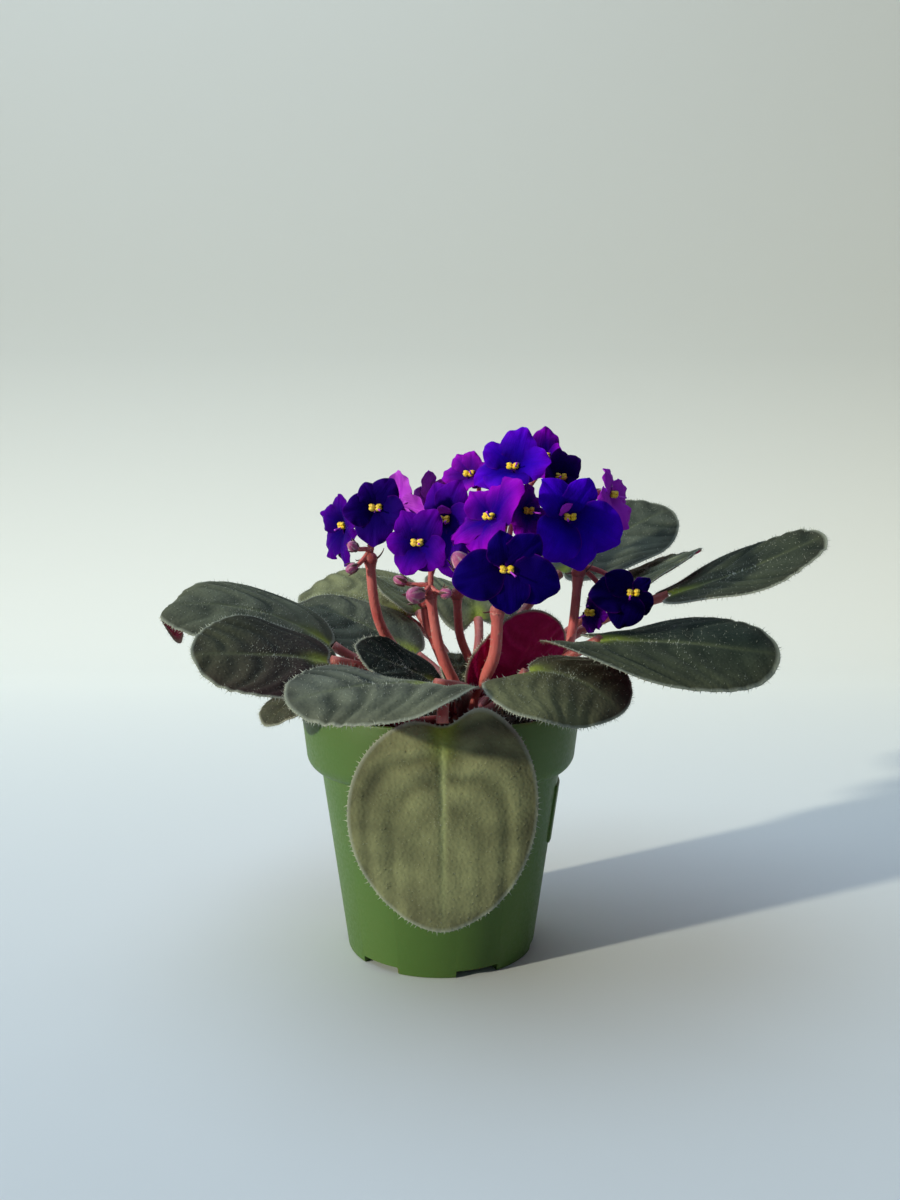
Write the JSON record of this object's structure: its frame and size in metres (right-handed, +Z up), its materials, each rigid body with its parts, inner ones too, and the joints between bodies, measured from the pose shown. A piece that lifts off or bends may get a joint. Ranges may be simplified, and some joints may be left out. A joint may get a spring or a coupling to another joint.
{
  "type": "potted african violet",
  "caption": "African violet rosette in flower, growing in a plain round nursery pot; stands on a table or sill as a small house plant.",
  "frame": {"origin": "centre of the pot's flat underside, on the surface it stands on", "axes": "+Z up along the pot's axis, the side with the big hanging leaf faces -Y"},
  "size_m": [0.2495, 0.1977, 0.1912],
  "materials": {
    "pot": "green moulded plastic, slightly satin",
    "soil": "dark damp peat and perlite",
    "stem": "fleshy, finely haired, coral red",
    "leaf": "thick velvety leaf with white hairs, maroon below",
    "petal": "velvety deep violet-blue petals",
    "anther": "bright yellow, powdery"
  },
  "bodies": {
    "root": {"pot": "pot", "soil": "soil", "crown": "stem", "flower_stalk_1": "stem", "flower_stalk_2": "stem", "flower_stalk_3": "stem", "flower_stalk_4": "stem", "flower_stalk_5": "stem", "flower_stalk_6": "stem", "leaf_01": "leaf", "leaf_02": "leaf", "leaf_03": "leaf", "leaf_04": "leaf", "leaf_05": "leaf", "leaf_06": "leaf", "leaf_07": "leaf", "leaf_08": "leaf", "leaf_09": "leaf", "leaf_10": "leaf", "leaf_11": "leaf", "leaf_12": "leaf", "leaf_13": "leaf", "leaf_14": "leaf", "leaf_15": "leaf", "leaf_16": "leaf", "leaf_17": "leaf", "bloom_01": "petal", "bloom_02": "petal", "bloom_03": "petal", "bloom_04": "petal", "bloom_05": "petal", "bloom_06": "petal", "bloom_07": "petal", "bloom_08": "petal", "bloom_09": "petal", "bloom_10": "petal", "bloom_11": "petal", "bloom_12": "petal", "bloom_13": "petal", "bloom_14": "petal", "bloom_15": "petal", "bloom_16": "petal", "bloom_17": "petal", "anthers_01": "anther", "anthers_02": "anther", "anthers_03": "anther", "anthers_04": "anther", "anthers_05": "anther", "anthers_06": "anther", "anthers_07": "anther", "anthers_08": "anther", "anthers_09": "anther", "anthers_10": "anther", "anthers_11": "anther", "anthers_12": "anther", "anthers_13": "anther", "anthers_14": "anther", "anthers_15": "anther", "anthers_16": "anther", "anthers_17": "anther"}
  },
  "joints": []
}
